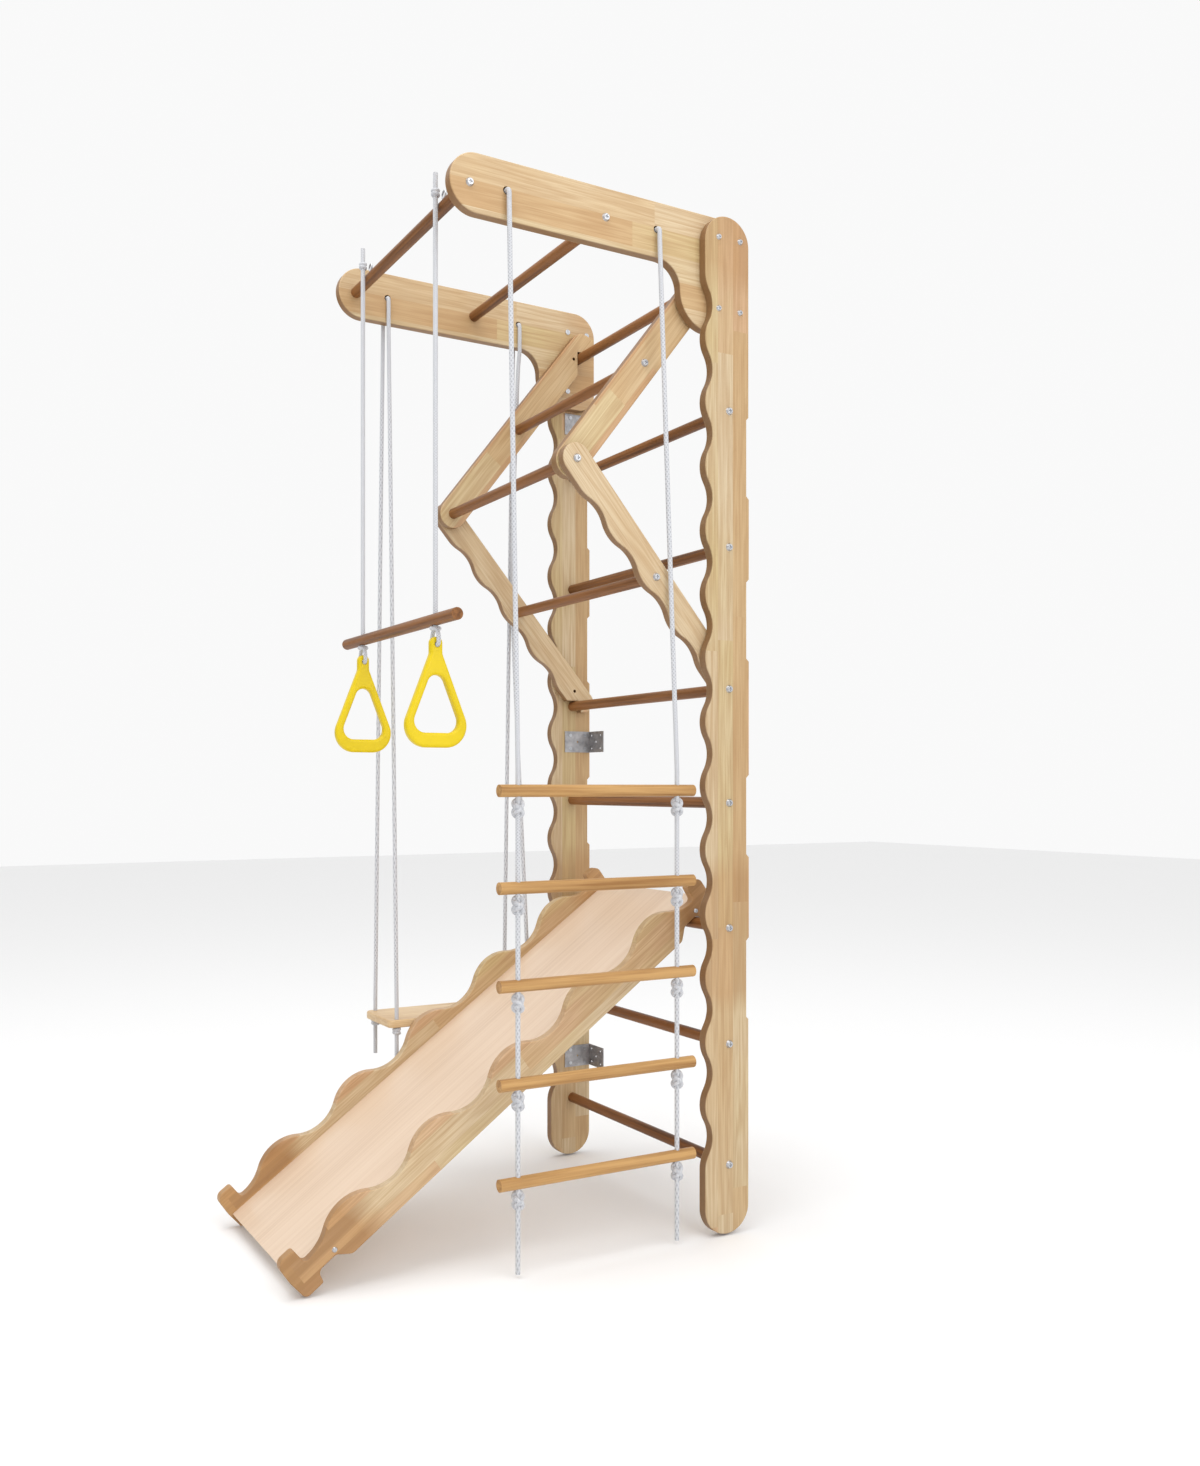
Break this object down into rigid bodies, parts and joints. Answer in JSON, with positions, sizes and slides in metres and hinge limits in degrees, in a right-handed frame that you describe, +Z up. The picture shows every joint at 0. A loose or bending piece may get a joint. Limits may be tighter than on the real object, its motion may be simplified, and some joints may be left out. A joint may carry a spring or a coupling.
{
  "type": "wall-mounted climbing frame",
  "caption": "Wall-mounted wooden climbing frame with wavy posts, rungs, overhead arms, folding incline, slide, plank swing, rope ladder and trapeze with hand rings.",
  "frame": {"origin": "on the wall plane at floor level, midway between the posts", "axes": "+Z up, the set stands out towards -Y, +X to the rope ladder's side"},
  "size_m": [0.7485, 1.0116, 2.2087],
  "materials": {
    "board": "matt lacquered pine board",
    "rung": "turned beech, satin",
    "pale_rung": "turned beech, pale",
    "seat": "sanded pine",
    "bed": "smooth plywood",
    "fastener": "zinc plated",
    "bracket": "galvanised sheet",
    "rope": "braided cord",
    "plastic": "moulded, semi gloss"
  },
  "bodies": {
    "frame": {"post_left_upper": "board", "post_left_lower": "board", "post_right_upper": "board", "post_right_lower": "board", "arm_left": "board", "arm_right": "board", "wall_rung_1": "rung", "wall_rung_2": "rung", "wall_rung_3": "rung", "wall_rung_4": "rung", "wall_rung_5": "rung", "wall_rung_6": "rung", "wall_rung_7": "rung", "arm_rung_tip": "rung", "arm_rung_middle": "rung", "arm_rung_top": "rung", "rung_bolts": "fastener", "arm_bolts": "fastener", "arm_nuts": "fastener", "wall_brackets": "bracket", "bracket_screws": "fastener", "eye_bolts": "fastener", "ladder_stub_front": "rope", "ladder_stub_back": "rope", "swing_loop_front": "rope", "swing_loop_back": "rope"},
    "incline_upper": {"incline_upper_board_left": "board", "incline_upper_board_right": "board", "incline_upper_rung": "rung", "incline_knee_rung": "rung", "incline_upper_bolts": "fastener", "knee_washers": "fastener"},
    "incline_lower": {"incline_lower_board_left": "board", "incline_lower_board_right": "board", "incline_lower_rung": "rung", "incline_lower_bolts": "fastener"},
    "slide": {"slide_rail_left": "board", "slide_rail_right": "board", "slide_bed": "bed", "slide_screws": "fastener"},
    "swing": {"swing_seat": "seat", "swing_rope_front_outer": "rope", "swing_rope_front_inner": "rope", "swing_rope_back_outer": "rope", "swing_rope_back_inner": "rope", "swing_knots": "rope"},
    "rope_ladder": {"ladder_rung_1": "pale_rung", "ladder_rung_2": "pale_rung", "ladder_rung_3": "pale_rung", "ladder_rung_4": "pale_rung", "ladder_rung_5": "pale_rung", "ladder_rope_front": "rope", "ladder_rope_back": "rope", "ladder_knots": "rope"},
    "trapeze": {"trapeze_bar": "rung", "trapeze_rope_left": "rope", "trapeze_rope_right": "rope", "trapeze_knots": "rope"},
    "hand_ring_left": {"ring_left": "plastic"},
    "hand_ring_right": {"ring_right": "plastic"}
  },
  "joints": [
    {"name": "incline_fold", "type": "hinge", "parent": "frame", "child": "incline_upper", "pos_m": [0, -0.053, 2.083], "axis": [-1, 0, 0], "range_deg": [0, 15]},
    {"name": "incline_knee", "type": "hinge", "parent": "incline_upper", "child": "incline_lower", "pos_m": [0, -0.42, 1.638], "axis": [1, 0, 0], "range_deg": [0, 30]},
    {"name": "slide_lift", "type": "hinge", "parent": "frame", "child": "slide", "pos_m": [0, -0.053, 0.661], "axis": [-1, 0, 0], "range_deg": [0, 35]},
    {"name": "swing_swing", "type": "hinge", "parent": "frame", "child": "swing", "pos_m": [-0.314, -0.4039, 2.083], "axis": [0, 1, 0], "range_deg": [0, 25]},
    {"name": "ladder_swing", "type": "hinge", "parent": "frame", "child": "rope_ladder", "pos_m": [0.337, -0.4039, 2.12], "axis": [0, -1, 0], "range_deg": [0, 30]},
    {"name": "trapeze_swing", "type": "hinge", "parent": "frame", "child": "trapeze", "pos_m": [0, -0.663, 2.168], "axis": [-1, 0, 0], "range_deg": [0, 40]},
    {"name": "ring_left_tilt", "type": "hinge", "parent": "trapeze", "child": "hand_ring_left", "pos_m": [-0.205, -0.682, 1.254], "axis": [1, 0, 0], "range_deg": [-30, 30]},
    {"name": "ring_right_tilt", "type": "hinge", "parent": "trapeze", "child": "hand_ring_right", "pos_m": [0.205, -0.682, 1.254], "axis": [1, 0, 0], "range_deg": [-30, 30]}
  ],
  "couplings": [
    {"joint": "incline_knee", "follows": "incline_fold", "ratio": 1.965}
  ]
}
